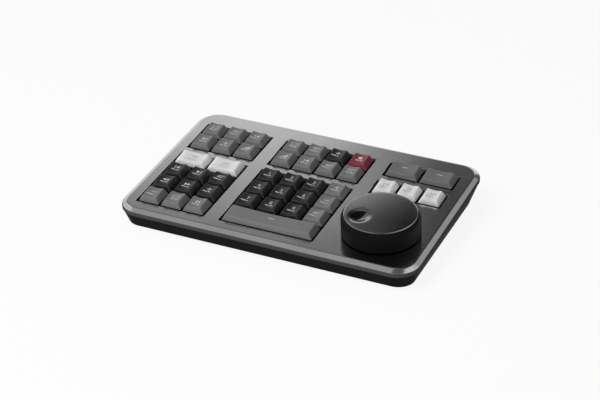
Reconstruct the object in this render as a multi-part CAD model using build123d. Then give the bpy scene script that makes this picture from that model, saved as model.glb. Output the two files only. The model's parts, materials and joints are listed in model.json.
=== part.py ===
from build123d import *
import math
import os

# Editing keyboard: a sloped metal panel with key blocks and a search dial on a drafted tray.
# Lengths are in millimetres and angles in degrees. Pieces parallel to the panel are drawn in
# the panel's own frame: X right, Y to the rear, Z out of the panel, zero at its top face.

# Key field
key_pitch = 19.05             # centre distance of neighbouring keys
cap_foot = 17.0               # side of a single cap at its foot
cap_clearance = 1.5           # free gap between a cap's foot and the edge of its cut-out
bar_width = 13.2              # panel between two key blocks
strip_depth = 7.2             # panel between the rear and front cut-outs of a block

# Top panel
side_margin = 12.9            # key blocks to the panel's left, right and front edges
rear_margin = 21.5            # key blocks to the panel's rear edge
panel_slope = 4.2             # rise of the panel towards the rear
panel_thickness = 2.5
bevel_run = 4.2               # width of the edge bevel on the top face
bevel_drop = 2.5              # height of the edge bevel
skirt_side = 2.8              # upright side under the bevel
skirt_wall = 2.4              # thickness of that side
boss_side = 9.0               # square screw boss under the panel
boss_blind = 1.0              # depth of the boss hole into the panel itself

# Keycaps
cap_foot_drop = 0.2           # cap foot below the panel's top face
cap_rear_height = 5.7         # rear edge of a cap's top above the panel
cap_front_height = 5.1        # front edge of a cap's top above the panel
cap_side_draft = 22.1
cap_rear_draft = 25.7
cap_front_draft = 13.5
cap_scoop = 0.4               # depth of the hollow across a cap's top
cap_wall = 1.3
cap_roof = 1.4
cap_travel = 3.0              # stroke of a key
stem_side = 5.6
stem_clearance = 0.3          # free gap between a stem and its housing
stem_engagement = 1.0         # stem inside its housing at rest
stem_end_clearance = 0.6      # free height under a stem at full stroke
bar_guide_offset = 26.0       # end guides of the long bar from its middle

# Switch housings, plate and board
foot_clearance = 1.6          # pressed cap foot to the housing's top
housing_flange = 15.4
flange_thickness = 1.5
housing_body = 13.8
housing_floor = 0.6
plate_thickness = 1.2
plate_hole_clearance = 0.1    # free gap round a housing in the plate
sheet_border = 1.6            # plate and board past the key cut-outs
board_thickness = 1.6
notch_clearance = 1.2         # plate and board clear of the dial's corner
board_air = 3.1               # board's front lower edge above the tray floor

# Tray
wall_draft = 20.0
tray_wall = 3.0
tray_floor = 2.5
tray_corner = 9.6             # corner radius at the tray's rear lower edge
tray_reveal = 0.3             # tray set back from the panel's side
inner_corner_share = 0.7      # cut inner corners of panel and tray, of the round outer ones
lip_wall = 0.8                # locating lip inside the panel's skirt
lip_side_clearance = 0.2
lip_end_clearance = 0.6
post_side = 9.0               # square screw post on the tray floor
spigot_side = 6.0             # upper end of a post, through board and plate
spigot_clearance = 0.3

# Feet
foot_height = 2.0             # feet below the tray
foot_length = 28.0
foot_width = 9.0
foot_recess = 0.6             # feet let into the tray
foot_side_clearance = 0.15
foot_inset = 8.0              # feet to the edges of the tray's underside

# Case screws
screw_radius = 1.25
screw_clearance = 0.1
screw_head_sides = 6
screw_head_radius = 2.3       # to the corners of the head
screw_head_height = 1.6
screw_head_clearance = 0.3
screw_head_recess = 1.2       # head below the tray's underside at the front screws
screw_front = 18.0            # front screws to the front of the key blocks
screw_rear = 18.0             # rear screws to the rear of the key blocks

# Search dial
dial_front = 43.9             # dial axis to the panel's front edge
dial_radius = 29.9
dial_rim_radius = 27.3
dial_height = 18.1            # top of the dial above the panel
dial_shoulder = 3.5           # height of the sloped shoulder
dial_gap = 0.9                # dial foot above the panel
dial_recess_side = 0.8        # free gap round the nut in the dial's underside
dial_recess_top = 0.4         # free gap above the bush in the dial's underside
dimple_radius = 7.4
dimple_depth = 2.7
dimple_left = 12.5            # dimple from the dial axis, to the left
dimple_forward = 10.7         # dimple from the dial axis, to the front
shaft_radius = 4.0
shaft_in_dial = 8.5
shaft_below_bush = 6.0
press_fit = 0.03              # free gap of pieces that are pressed together
running_fit = 0.06            # free gap between shaft and bush
bush_wall = 2.4
nut_sides = 6
nut_across = 17.0             # width of the nut across its flats
nut_height = 2.2
nut_clearance = 0.4           # bush end above the nut
panel_hole_clearance = 0.1    # free gap round the bush in the panel
motor_side = 38.0
motor_height = 10.5
motor_corner = 5.0            # bevel on the motor's four upright edges
motor_pocket_clearance = 1.0  # free gap round shaft end and magnet
magnet_thickness = 2.0
magnet_clearance = 0.5        # magnet above the pocket's floor

# Rear socket
socket_width = 9.0
socket_height = 3.2
socket_length = 7.4
socket_shell = 0.35
socket_tongue_width = 6.7
socket_tongue_thickness = 0.7
socket_tongue_recess = 1.0
socket_back = 1.0
socket_clearance = 0.3        # free gap round the socket in the tray wall
socket_on_board = 4.0         # length of the socket that sits on the board
socket_frame_wall = 2.2       # wall between the plug recess and the board
plug_recess_width = 13.0
plug_recess_height = 8.0
socket_frame_border = 2.0
socket_setback = 0.3          # socket mouth behind the recess floor

# Battery pack
battery_width = 60.0
battery_depth = 34.0
battery_height = 5.5
battery_corner = 2.0
battery_rear = 46.0           # battery's rear edge to the rear of the key blocks

# One length that every cut runs past the face it starts from
overrun = 4.0


def numbered(stem, first, last):
    """Names of a run of keys, such as trim_key_1 to trim_key_3."""
    return [f"{stem}_{number}" for number in range(first, last + 1)]


# Each block: columns, then its rear and front cut-outs as rows of keys from rear to front.
# The keys of a row share its width, so fewer names in a row are wider keys.
BLOCKS = [
    (3,
     [numbered("edit_key", 1, 3), numbered("edit_key", 4, 6)],
     [numbered("mark_key", 1, 2), numbered("trim_key", 1, 3), numbered("trim_key", 4, 6),
      numbered("trim_key", 7, 9)]),
    (4,
     [numbered("view_key", 1, 4), numbered("view_key", 5, 8)],
     [numbered("number_key", 1, 3) + ["side_key_1"], numbered("number_key", 4, 6) + ["side_key_2"],
      numbered("number_key", 7, 9) + ["side_key_3"], ["play_bar"]]),
    (3,
     [numbered("bank_key", 1, 2)],
     [numbered("mode_key", 1, 3)]),
]

cutout_extra = cap_foot - key_pitch + 2 * cap_clearance


def cutout_span(count):
    """Length of a cut-out for a run of count single keys."""
    return count * key_pitch + cutout_extra


field_width = sum(cutout_span(columns) for columns, rear, front in BLOCKS) + 2 * bar_width
field_depth = max(cutout_span(len(rear)) + cutout_span(len(front)) for columns, rear, front in BLOCKS)
field_depth += strip_depth
panel_width = field_width + 2 * side_margin
panel_depth = field_depth + side_margin + rear_margin
field_rear = panel_depth / 2 - rear_margin
field_front = -panel_depth / 2 + side_margin
field_side = field_width / 2


def lay_out_keys():
    """Cut-outs as (x, y, width, depth) and keys as (name, units, x, y)."""
    cutouts = []
    keys = []
    block_left = -field_side
    for columns, rear_rows, front_rows in BLOCKS:
        width = cutout_span(columns)
        row_top = field_rear
        for rows in (rear_rows, front_rows):
            depth = cutout_span(len(rows))
            cutouts.append((block_left + width / 2, row_top - depth / 2, width, depth))
            for row, names in enumerate(rows):
                units = columns / len(names)
                y = row_top - cutout_extra / 2 - (2 * row + 1) * key_pitch / 2
                for place, name in enumerate(names):
                    x = block_left + cutout_extra / 2 + (2 * place + 1) * units * key_pitch / 2
                    keys.append((name, units, x, y))
            row_top -= depth + strip_depth
        block_left += width + bar_width
    return cutouts, keys


CUTOUTS, KEYS = lay_out_keys()

# Heights in the panel's frame, from the panel down to the board
skirt_depth = bevel_drop + skirt_side
housing_top = -cap_foot_drop - cap_travel - foot_clearance
plate_top = housing_top - flange_thickness
plate_bottom = plate_top - plate_thickness
stem_bottom = housing_top - stem_engagement
bore_bottom = stem_bottom - cap_travel - stem_end_clearance
board_top = bore_bottom - housing_floor
board_bottom = board_top - board_thickness

# The panel's frame in the keyboard's frame: the board's front edge clears the tray floor,
# and the whole box is centred on the origin from front to rear.
slope_sine = math.sin(math.radians(panel_slope))
slope_cosine = math.cos(math.radians(panel_slope))
sheet_front = field_front - sheet_border
floor_top = foot_height + tray_floor
panel_lift = floor_top + board_air - sheet_front * slope_sine - board_bottom * slope_cosine
panel_shift = -(bevel_drop + skirt_depth) / 2 * slope_sine
PANEL = Location((0, panel_shift, panel_lift), (panel_slope, 0, 0))


def floor_level(y, height):
    """Level in the panel's frame, at y, of a flat plane at that height over the desk."""
    return (height - panel_lift - y * slope_sine) / slope_cosine


draft_run = math.tan(math.radians(wall_draft))
tray_depth = -floor_level(panel_depth / 2, foot_height) - skirt_depth
panel_corner = tray_corner + tray_depth * draft_run
tray_wall_run = tray_wall / math.cos(math.radians(wall_draft))

# Places of the case screws: two in each bar between the blocks
bar_1_x = -field_side + cutout_span(BLOCKS[0][0]) + bar_width / 2
bar_2_x = field_side - cutout_span(BLOCKS[2][0]) - bar_width / 2
SCREWS = [(x, y) for x in (bar_1_x, bar_2_x) for y in (field_front + screw_front, field_rear - screw_rear)]
screw_tip = -panel_thickness + boss_blind
screw_seat = floor_level(field_front + screw_front, foot_height) + screw_head_height + screw_head_recess

# Dial axis, and the corner of plate and board that it leaves free
dial_x = field_side - cutout_span(BLOCKS[2][0]) / 2
dial_y = -panel_depth / 2 + dial_front
mode_cutout = CUTOUTS[-1]
notch_left = dial_x - mode_cutout[2] / 2 + notch_clearance
notch_rear = mode_cutout[1] - mode_cutout[3] / 2 - notch_clearance

# Dial levels in the panel's frame, from the bush outwards
bush_radius = shaft_radius + bush_wall
bush_bottom = -panel_thickness
bush_top = nut_height + nut_clearance
dial_recess = bush_top + dial_recess_top
shaft_top = dial_recess + shaft_in_dial
shaft_bottom = bush_bottom - shaft_below_bush
magnet_bottom = shaft_bottom - magnet_thickness
motor_bottom = -panel_thickness - motor_height


UPWARD = (Align.CENTER, Align.CENTER, Align.MIN)
REARWARD = (Align.CENTER, Align.MIN, Align.CENTER)


def column(radius, bottom, top):
    """Upright cylinder between two levels."""
    return Pos(0, 0, bottom) * Cylinder(radius, top - bottom, align=UPWARD)


def block(width, depth, bottom, top):
    """Upright box on the axis between two levels."""
    return Pos(0, 0, bottom) * Box(width, depth, top - bottom, align=UPWARD)


def at_each(places, piece):
    """Copies of a piece at the listed places on the panel."""
    return [Pos(x, y) * piece for x, y in places]


def outline(inset):
    """The panel's outline, drawn in all round."""
    return RectangleRounded(panel_width - 2 * inset, panel_depth - 2 * inset, panel_corner - inset)


def inner_outline(inset):
    """The same outline for the inside of a shell, with cut corners in place of round ones."""
    plan = Rectangle(panel_width - 2 * inset, panel_depth - 2 * inset)
    return chamfer(plan.vertices(), (panel_corner - inset) * inner_corner_share)


def make_top_panel():
    """Bevelled plate with a skirt, key cut-outs, a dial hole and screw bosses."""
    panel = extrude(outline(0), amount=-skirt_depth)
    top_face = panel.faces().sort_by(Axis.Z)[-1]
    panel = chamfer(top_face.edges(), bevel_run, bevel_drop, reference=top_face)
    panel -= Pos(0, 0, -panel_thickness) * extrude(inner_outline(skirt_wall), amount=-skirt_depth)
    windows = Sketch() + [Pos(x, y) * Rectangle(w, d) for x, y, w, d in CUTOUTS]
    panel -= Pos(0, 0, -panel_thickness - overrun) * extrude(windows, amount=panel_thickness + 2 * overrun)
    panel -= Pos(dial_x, dial_y) * column(bush_radius + panel_hole_clearance, -skirt_depth, overrun)
    panel += at_each(SCREWS, block(boss_side, boss_side, plate_top, -panel_thickness))
    hole = column(screw_radius + screw_clearance, plate_top - overrun, screw_tip)
    return panel - at_each(SCREWS, hole)


def drafted_block(plan):
    """A form under the panel's skirt whose walls lean inwards on the way down."""
    rising = extrude(plan, amount=tray_depth, taper=wall_draft)
    return Pos(0, 0, -skirt_depth) * Rot(180, 0, 0) * rising


def above(shape, height):
    """The part of a shape above a level over the desk."""
    return split(shape, bisect_by=Plane.XY.offset(height), keep=Keep.TOP)


def foot_places():
    """Feet near the four corners of the tray's underside, in the keyboard's frame."""
    front_depth = -floor_level(-panel_depth / 2, foot_height) - skirt_depth
    rear = panel_depth / 2 - tray_depth * draft_run - foot_inset - foot_width / 2
    front = -panel_depth / 2 + front_depth * draft_run + foot_inset + foot_width / 2
    side = panel_width / 2 - tray_depth * draft_run - foot_inset - foot_length / 2
    return [(x, y) for x in (-side, side) for y in (front, rear)]


FEET = foot_places()


def make_rubber_feet():
    """Four flat pads, each let into the tray's underside."""
    return Compound(at_each(FEET, block(foot_length, foot_width, 0, foot_height + foot_recess)))


# Rear socket: the mouth stands in a recess of the rear wall, where a plug's grip goes
socket_top = board_bottom
socket_middle = socket_top - socket_height / 2
wall_at_socket = panel_depth / 2 - (-socket_middle + plug_recess_height / 2 - skirt_depth) * draft_run
socket_mouth = wall_at_socket - socket_setback
frame_front = socket_mouth - socket_frame_wall
socket_frame_width = plug_recess_width + 2 * socket_frame_border
board_tab_rear = socket_mouth - socket_length + socket_on_board


def socket_frame_block():
    """Thickened wall round the socket, inside the tray."""
    height = plug_recess_height + 2 * socket_frame_border
    reach = panel_depth / 2 - frame_front
    return Pos(0, frame_front, socket_middle) * Box(socket_frame_width, reach, height, align=REARWARD)


def socket_opening():
    """Room for a plug's grip behind the socket's mouth, and the slot that the socket fills."""
    recess = Box(plug_recess_width, panel_depth, plug_recess_height, align=REARWARD)
    slot = Box(socket_width + 2 * socket_clearance, socket_length, socket_height + 2 * socket_clearance)
    recess_floor = socket_mouth + socket_setback
    return Pos(0, recess_floor, socket_middle) * recess + Pos(0, socket_mouth, socket_middle) * slot


def lip_bars():
    """Locating lip: four straight bars just inside the panel's skirt."""
    inset = skirt_wall + lip_side_clearance + lip_wall / 2
    height = skirt_depth - panel_thickness - lip_end_clearance
    across = Box(panel_width - 2 * panel_corner, lip_wall, height)
    along = Box(lip_wall, panel_depth - 2 * panel_corner, height)
    bars = [Pos(0, side * (panel_depth / 2 - inset)) * across for side in (-1, 1)]
    bars += [Pos(side * (panel_width / 2 - inset)) * along for side in (-1, 1)]
    return [Pos(0, 0, height / 2 - skirt_depth) * bar for bar in bars]


def make_base_tray():
    """Moulded tray with drafted walls, a locating lip, screw posts, foot seats and a plug recess."""
    form = drafted_block(outline(tray_reveal))
    hollow = drafted_block(inner_outline(tray_reveal + tray_wall_run))
    tray_bottom = -skirt_depth - tray_depth
    post = block(post_side, post_side, tray_bottom, board_bottom)
    post += block(spigot_side, spigot_side, tray_bottom, plate_top)
    posts = above(PANEL * (Part() + at_each(SCREWS, post)), foot_height)
    frame = above(PANEL * (socket_frame_block() & form), foot_height)
    tray = above(PANEL * form, foot_height) - above(PANEL * hollow, floor_top)
    tray += [posts, frame] + [PANEL * bar for bar in lip_bars()]
    head_side = 2 * (screw_head_radius + screw_head_clearance)
    bore_side = 2 * (screw_radius + screw_clearance)
    hole = block(bore_side, bore_side, tray_bottom, overrun)
    hole += block(head_side, head_side, tray_bottom - overrun, screw_seat)
    tray -= [PANEL * piece for piece in at_each(SCREWS, hole)]
    seat_length = foot_length + 2 * foot_side_clearance
    seat_width = foot_width + 2 * foot_side_clearance
    tray -= at_each(FEET, block(seat_length, seat_width, foot_height - overrun, foot_height + foot_recess))
    return tray - PANEL * socket_opening()


def make_case_screws():
    """Equal screws that clamp the board, the plate and the panel to the tray's posts."""
    head = extrude(RegularPolygon(screw_head_radius, screw_head_sides), amount=screw_head_height)
    screw = column(screw_radius, screw_seat, screw_tip) + Pos(0, 0, screw_seat - screw_head_height) * head
    return Compound(at_each(SCREWS, screw))


def key_sheet():
    """Outline shared by plate and board: the key field less the dial's corner and the spigots."""
    width = field_width + 2 * sheet_border
    sheet = Pos(0, (field_rear + field_front) / 2) * Rectangle(width, field_depth + 2 * sheet_border)
    notch_width = field_side + sheet_border - notch_left
    sheet -= Pos(notch_left, notch_rear) * Rectangle(notch_width, panel_depth, align=(Align.MIN, Align.MAX))
    hole = spigot_side + 2 * spigot_clearance
    return sheet - at_each(SCREWS, Rectangle(hole, hole))


def housing_places():
    """One switch under each key, and a guide under each end of the long bar."""
    places = [(x, y) for name, units, x, y in KEYS]
    for name, units, x, y in KEYS:
        places += [(x + offset, y) for offset in guide_offsets(units)]
    return places


def guide_offsets(units):
    """End guides of a key: only one long enough to tip has them."""
    half_width = (cap_foot + (units - 1) * key_pitch) / 2
    return [-bar_guide_offset, bar_guide_offset] if half_width > bar_guide_offset else []


def make_switch_housings():
    """Flanged square housings, each with a blind bore for a key's stem."""
    housing = block(housing_flange, housing_flange, plate_top, housing_top)
    housing += block(housing_body, housing_body, board_top, plate_top)
    bore = stem_side + 2 * stem_clearance
    housing -= block(bore, bore, bore_bottom, housing_top + overrun)
    return Compound(at_each(housing_places(), housing))


def make_switch_plate():
    """Sheet with a square hole for every housing."""
    side = housing_body + 2 * plate_hole_clearance
    holes = at_each(housing_places(), Rectangle(side, side))
    return Pos(0, 0, plate_bottom) * extrude(key_sheet() - holes, amount=plate_thickness)


def make_circuit_board():
    """Board under the housings, with a tab for the socket."""
    tab_length = board_tab_rear - field_rear
    tab = Pos(0, field_rear) * Rectangle(socket_frame_width, tab_length, align=(Align.CENTER, Align.MIN))
    return Pos(0, 0, board_bottom) * extrude(key_sheet() + tab, amount=board_thickness)


def cap_form(units, inset, rear_height, front_height):
    """Four drafted walls under a sloped flat top, drawn in by inset."""
    foot_half = (cap_foot + (units - 1) * key_pitch) / 2 - inset
    depth_half = cap_foot / 2 - inset
    side_run = (rear_height + cap_foot_drop) * math.tan(math.radians(cap_side_draft))
    rear_run = (rear_height + cap_foot_drop) * math.tan(math.radians(cap_rear_draft))
    front_run = (front_height + cap_foot_drop) * math.tan(math.radians(cap_front_draft))
    from_front = Polyline((-foot_half, -cap_foot_drop), (foot_half, -cap_foot_drop),
                          (foot_half - side_run, rear_height), (side_run - foot_half, rear_height),
                          close=True)
    from_side = Polyline((-depth_half, -cap_foot_drop), (depth_half, -cap_foot_drop),
                         (depth_half - rear_run, rear_height), (front_run - depth_half, front_height),
                         close=True)
    across = extrude(Plane.XZ * make_face(from_front), amount=cap_foot, both=True)
    along = extrude(Plane.YZ * make_face(from_side), amount=2 * foot_half, both=True)
    return across & along


def cap_scoop_cut(units):
    """Shallow trough along a cap's sloped top, as wide as the top's front edge."""
    rear_y = cap_foot / 2 - (cap_rear_height + cap_foot_drop) * math.tan(math.radians(cap_rear_draft))
    front_y = (cap_front_height + cap_foot_drop) * math.tan(math.radians(cap_front_draft)) - cap_foot / 2
    side_run = (cap_front_height + cap_foot_drop) * math.tan(math.radians(cap_side_draft))
    half = (cap_foot + (units - 1) * key_pitch) / 2 - side_run
    middle = (0, (rear_y + front_y) / 2, (cap_rear_height + cap_front_height) / 2)
    forward = (0, front_y - rear_y, cap_front_height - cap_rear_height)
    trough = ThreePointArc((-half, 0), (0, -cap_scoop), (half, 0))
    sides = Polyline((half, 0), (half, overrun), (-half, overrun), (-half, 0))
    section = Plane(origin=middle, x_dir=(1, 0, 0), z_dir=forward) * make_face([trough, sides])
    return extrude(section, amount=cap_foot, both=True)


def make_keycap(units):
    """Drafted cap with a sloped, scooped top, a hollow underside and guide stems."""
    cap = cap_form(units, 0, cap_rear_height, cap_front_height) - cap_scoop_cut(units)
    ceiling = cap_front_height - cap_scoop - cap_roof
    cap -= cap_form(units, cap_wall, ceiling, ceiling)
    stem = block(stem_side, stem_side, stem_bottom, ceiling + cap_roof / 2)
    return cap + [Pos(x) * stem for x in [0] + guide_offsets(units)]


def turned(points):
    """Solid of revolution about the dial axis from an outline of (radius, height) points."""
    return revolve(Plane.XZ * make_face(Polyline(*points, close=True)), axis=Axis.Z)


def make_dial_knob():
    """Solid turned knob: sloped shoulder, a recess over the nut, a blind bore and a finger dimple."""
    recess = nut_across / 2 / math.cos(math.pi / nut_sides) + dial_recess_side
    bore = shaft_radius + press_fit
    knob = turned([(0, dial_height), (dial_rim_radius, dial_height),
                   (dial_radius, dial_height - dial_shoulder), (dial_radius, dial_gap),
                   (recess, dial_gap), (recess, dial_recess), (bore, dial_recess),
                   (bore, shaft_top), (0, shaft_top)])
    ball = (dimple_radius ** 2 + dimple_depth ** 2) / (2 * dimple_depth)
    dimple = Pos(-dimple_left, -dimple_forward, dial_height - dimple_depth + ball)
    return knob - dimple * Rot(0, -90, 0) * Sphere(ball)


def make_dial_shaft():
    """Plain shaft from the magnet up into the knob."""
    return column(shaft_radius, shaft_bottom, shaft_top)


def make_dial_bush():
    """Bearing bush: stands on the motor, goes through the panel and carries the nut."""
    bush = column(bush_radius, bush_bottom, bush_top)
    return bush - column(shaft_radius + running_fit, bush_bottom - overrun, bush_top + overrun)


def make_dial_nut():
    """Six-sided nut on the bush, which holds the motor to the panel."""
    blank = extrude(RegularPolygon(nut_across / 2, nut_sides, major_radius=False), amount=nut_height)
    return blank - column(bush_radius + press_fit, -overrun, nut_height + overrun)


def make_dial_motor():
    """Square clutch motor with a pocket for the shaft's end and its magnet."""
    motor = block(motor_side, motor_side, motor_bottom, -panel_thickness)
    motor = chamfer(motor.edges().filter_by(Axis.Z), motor_corner)
    return motor - column(shaft_radius + motor_pocket_clearance, magnet_bottom - magnet_clearance, overrun)


def make_dial_magnet():
    """Encoder magnet on the shaft's lower end."""
    return column(shaft_radius, magnet_bottom, shaft_bottom)


def make_usb_socket():
    """Flat oval socket: a thin shell, a back wall and a tongue."""
    body = SlotOverall(socket_width, socket_height)
    mouth = SlotOverall(socket_width - 2 * socket_shell, socket_height - 2 * socket_shell)
    tongue = Rectangle(socket_tongue_width, socket_tongue_thickness)
    back = Plane(origin=(0, socket_mouth - socket_length, socket_middle), x_dir=(1, 0, 0), z_dir=(0, 1, 0))
    socket = extrude(back * (body - mouth), amount=socket_length)
    socket += extrude(back * body, amount=socket_back)
    return socket + extrude(back * tongue, amount=socket_length - socket_tongue_recess)


def make_battery_pack():
    """Flat pouch cell that lies on the tray floor."""
    middle = field_rear - battery_rear - battery_depth / 2
    pack = block(battery_width, battery_depth, floor_top, floor_top + battery_height)
    return Pos(0, middle) * chamfer(pack.edges().filter_by(Axis.Z), battery_corner)


def write(name, shape):
    """One file per piece, named for it."""
    export_step(shape, f"parts/{name}.step")


os.makedirs("parts", exist_ok=True)

DIAL = PANEL * Pos(dial_x, dial_y)
ON_PANEL = {
    "top_panel": make_top_panel,
    "case_screws": make_case_screws,
    "switch_plate": make_switch_plate,
    "circuit_board": make_circuit_board,
    "switch_housings": make_switch_housings,
    "usb_socket": make_usb_socket,
}
ON_DIAL = {
    "dial_knob": make_dial_knob,
    "dial_shaft": make_dial_shaft,
    "dial_bush": make_dial_bush,
    "dial_nut": make_dial_nut,
    "dial_motor": make_dial_motor,
    "dial_magnet": make_dial_magnet,
}
ON_DESK = {
    "base_tray": make_base_tray,
    "rubber_feet": make_rubber_feet,
    "battery_pack": make_battery_pack,
}

for name, make in ON_PANEL.items():
    write(name, PANEL * make())
for name, make in ON_DIAL.items():
    write(name, DIAL * make())
for name, make in ON_DESK.items():
    write(name, make())

CAPS = {units: make_keycap(units) for units in sorted({units for name, units, x, y in KEYS})}
for name, units, x, y in KEYS:
    write(name, PANEL * Pos(x, y) * CAPS[units])

print("panel", round(panel_width, 2), round(panel_depth, 2), "corner", round(panel_corner, 2))
print("panel lift", round(panel_lift, 3), "shift", round(panel_shift, 3), "keys", len(KEYS))
print("dial axis", round(dial_x, 3), round(dial_y, 3), "dial rise", round(dial_height, 3))
print("feet", [(round(x, 2), round(y, 2)) for x, y in FEET])
print("socket mouth", round(socket_mouth, 3), "middle", round(socket_middle, 3))
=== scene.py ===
# %% [markdown]
# # An editing keyboard, dressed for its portrait
# The keyboard is a low sloped box: a bevelled metal panel on a dark tray, keys in six cut-outs and one
# large search dial. Its construction arrives as a fixed frame in metres, with every piece at its real
# place. This lesson keeps that frame, gives each piece its finish, and remakes the pieces that fingers
# touch, the caps and the dial, with the soft edges that moulding and coating leave on them.

# %% Load the construction
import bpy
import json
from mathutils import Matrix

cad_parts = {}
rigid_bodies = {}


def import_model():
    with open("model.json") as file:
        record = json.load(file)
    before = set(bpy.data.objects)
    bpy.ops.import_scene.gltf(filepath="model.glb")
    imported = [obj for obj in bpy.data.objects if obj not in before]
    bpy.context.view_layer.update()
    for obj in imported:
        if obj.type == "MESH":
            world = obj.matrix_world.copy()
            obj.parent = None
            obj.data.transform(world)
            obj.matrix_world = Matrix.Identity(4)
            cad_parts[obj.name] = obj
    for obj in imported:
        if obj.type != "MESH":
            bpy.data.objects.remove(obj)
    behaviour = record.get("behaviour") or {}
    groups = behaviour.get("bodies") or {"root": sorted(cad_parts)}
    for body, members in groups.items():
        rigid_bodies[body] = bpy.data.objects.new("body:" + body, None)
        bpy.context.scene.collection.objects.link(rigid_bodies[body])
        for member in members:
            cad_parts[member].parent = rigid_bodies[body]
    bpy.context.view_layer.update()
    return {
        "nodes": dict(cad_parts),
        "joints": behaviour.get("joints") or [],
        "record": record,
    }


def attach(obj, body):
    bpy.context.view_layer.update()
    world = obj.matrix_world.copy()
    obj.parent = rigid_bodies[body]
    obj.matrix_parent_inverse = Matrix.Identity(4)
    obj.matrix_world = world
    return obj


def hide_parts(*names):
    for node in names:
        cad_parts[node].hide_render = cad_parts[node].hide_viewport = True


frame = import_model()

# %% [markdown]
# ## Tools
# `bmesh` draws the meshes, and materials, lamps and the camera come from `bpy`. A maker's drawing gives
# millimetres and Blender counts in metres, so each small length below is a number times `mm`. Two look-ups
# save searching later: the joints by name, and the finish that each piece asks for.

# %% Tools used below
import json
import math

import bmesh
import bpy
from mathutils import Matrix, Quaternion, Vector

mm = 0.001
scene_objects = bpy.context.scene.collection.objects
joints = {joint["name"]: joint for joint in frame["joints"]}
slot_of = {part["node"]: part["material_slot"] for part in frame["record"]["subparts"]}
print("joints:", len(joints), "and finishes asked for:", len(set(slot_of.values())))

# %% [markdown]
# ## The panel's own frame
# Everything on the keyboard stands square to its sloped panel. Turning each piece by hand would be one way
# to follow the slope. Here one matrix does it: its upward axis is the keys' stroke reversed, and its zero
# level is the panel's top face. Pieces are drawn flat, and this matrix tips them into place.

# %% Measure the slope and the level of the panel
panel_up = -Vector(joints["play_bar_press"]["axis"]).normalized()
panel_right = Vector((1, 0, 0))
panel_rearward = panel_up.cross(panel_right)
panel_level = max(vertex.co.dot(panel_up) for vertex in frame["nodes"]["top_panel"].data.vertices)
panel_frame = Matrix((panel_right, panel_rearward, panel_up)).transposed().to_4x4()
panel_frame.translation = panel_up * panel_level
to_panel = panel_frame.inverted()


def box_on_panel(node):
    """Lowest and highest corners of a node, measured in the panel's frame."""
    points = [to_panel @ vertex.co for vertex in frame["nodes"][node].data.vertices]
    return [Vector([pick(point[axis] for point in points) for axis in range(3)]) for pick in (min, max)]


print("slope:", round(math.degrees(math.asin(panel_rearward.z)), 2), "degrees")

# %% [markdown]
# ## Finishes that wander
# No real surface has one even colour. Moulded plastic has a fine skin of pits, blasted metal has grain, and
# both drift a little in shade and in gloss. A painted picture could show that, but it would have to be
# fitted to every piece. Here each finish starts from one shader, and noise makes its colour drift between
# two close shades. The noise reads the object's own coordinates, so it stays put when a key moves.

# %% Start a finish and let its colour drift
dark_end_share, light_end_share = 0.3, 0.7


def new_finish(name, colour, roughness, metallic=0.0, specular=0.5):
    """A material with one shader; what is the same all over sits on the shader's own sockets."""
    finish = bpy.data.materials.new(name)
    finish.use_nodes = True
    shader = finish.node_tree.nodes["Principled BSDF"]
    shader.inputs["Base Color"].default_value = (*colour, 1)
    shader.inputs["Roughness"].default_value = roughness
    shader.inputs["Metallic"].default_value = metallic
    shader.inputs["Specular IOR Level"].default_value = specular
    return finish


def wiring(finish):
    """Nodes and links of a finish."""
    return finish.node_tree.nodes, finish.node_tree.links


def speckle(finish, size):
    """Noise of about the given size on the piece itself."""
    nodes, links = wiring(finish)
    place = nodes.new("ShaderNodeTexCoord")
    noise = nodes.new("ShaderNodeTexNoise")
    noise.inputs["Scale"].default_value = 1 / size
    links.new(place.outputs["Object"], noise.inputs["Vector"])
    return noise


def drift(finish, dark, light, size):
    """Base colour that wanders between two close shades."""
    nodes, links = wiring(finish)
    noise = speckle(finish, size)
    shades = nodes.new("ShaderNodeValToRGB")
    ends = zip(shades.color_ramp.elements, (dark, light), (dark_end_share, light_end_share))
    for end, colour, position in ends:
        end.color = (*colour, 1)
        end.position = position
    links.new(noise.outputs["Fac"], shades.inputs["Fac"])
    links.new(shades.outputs["Color"], nodes["Principled BSDF"].inputs["Base Color"])


print("colour drifts over the middle", round(light_end_share - dark_end_share, 2), "of the noise")

# %% [markdown]
# Gloss wanders too, because a surface is never blasted or moulded quite evenly. The grain itself is far too
# fine to draw as a mesh, so a bump node tilts the light on it instead, by the depth that the grain has.

# %% Let the gloss wander and raise a grain
relief_strength = 0.5


def polish(finish, low, high, size):
    """Roughness that wanders between two values."""
    nodes, links = wiring(finish)
    noise = speckle(finish, size)
    gloss = nodes.new("ShaderNodeMapRange")
    gloss.inputs["To Min"].default_value = low
    gloss.inputs["To Max"].default_value = high
    links.new(noise.outputs["Fac"], gloss.inputs["Value"])
    links.new(gloss.outputs["Result"], nodes["Principled BSDF"].inputs["Roughness"])


def grain(finish, size, depth):
    """Fine relief on the surface."""
    nodes, links = wiring(finish)
    noise = speckle(finish, size)
    relief = nodes.new("ShaderNodeBump")
    relief.inputs["Strength"].default_value = relief_strength
    relief.inputs["Distance"].default_value = depth
    links.new(noise.outputs["Fac"], relief.inputs["Height"])
    links.new(relief.outputs["Normal"], nodes["Principled BSDF"].inputs["Normal"])


def shade(colour, factor):
    """The same hue, lighter or darker."""
    return tuple(channel * factor for channel in colour)


print("relief strength:", relief_strength)

# %% [markdown]
# ## Finishes of all the pieces
# The panel is aluminium, blasted and anodised grey: metallic, satin, with a grain too fine to count. The
# tray is black plastic with a coarser moulded skin. Caps are moulded too, in five colours with one skin.
# Plate, nut, screws and socket are steel, the bush is brass, the board has its green resist, the feet are
# rubber. Each could have a function of its own, but they differ in a few numbers only, so one table holds
# those: a slot's name, its colour, its roughness, how metallic it is, how much it mirrors, and the size and
# depth of its grain.

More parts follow.
